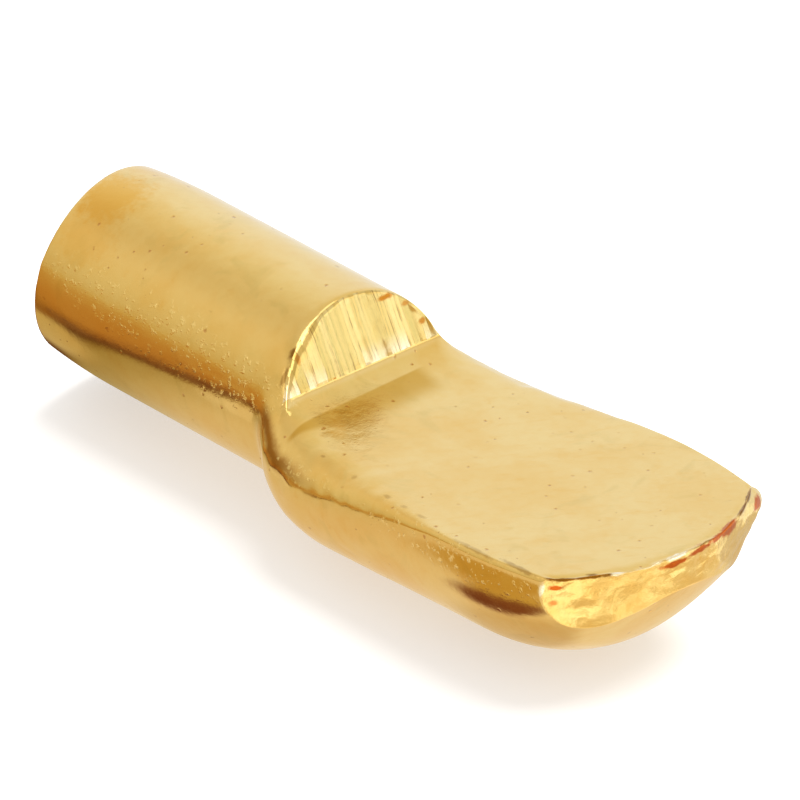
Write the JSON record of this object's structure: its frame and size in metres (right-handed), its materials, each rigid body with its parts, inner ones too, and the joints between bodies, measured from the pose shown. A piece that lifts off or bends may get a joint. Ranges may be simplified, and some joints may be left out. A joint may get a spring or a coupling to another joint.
{
  "type": "shelf support pin",
  "caption": "Cold-formed brass-plated shelf support pin: round barrel for the hole, sheared shoulder, flat-topped round-bellied blade that holds the shelf.",
  "frame": {"origin": "on the barrel's axis where it starts to swell into the blade, which is where the mouth of the hole lies in use", "axes": "+X along the barrel's axis towards the blade's tip, +Z away from the flat that the shelf rests on, +Y to the left of +X"},
  "size_m": [0.0254, 0.0088, 0.0071],
  "materials": {
    "brass_plate": "bright brass plate over cold-formed steel, satin with fine pits and scratches"
  },
  "bodies": {
    "root": {"shelf_pin": "brass_plate"}
  },
  "joints": []
}
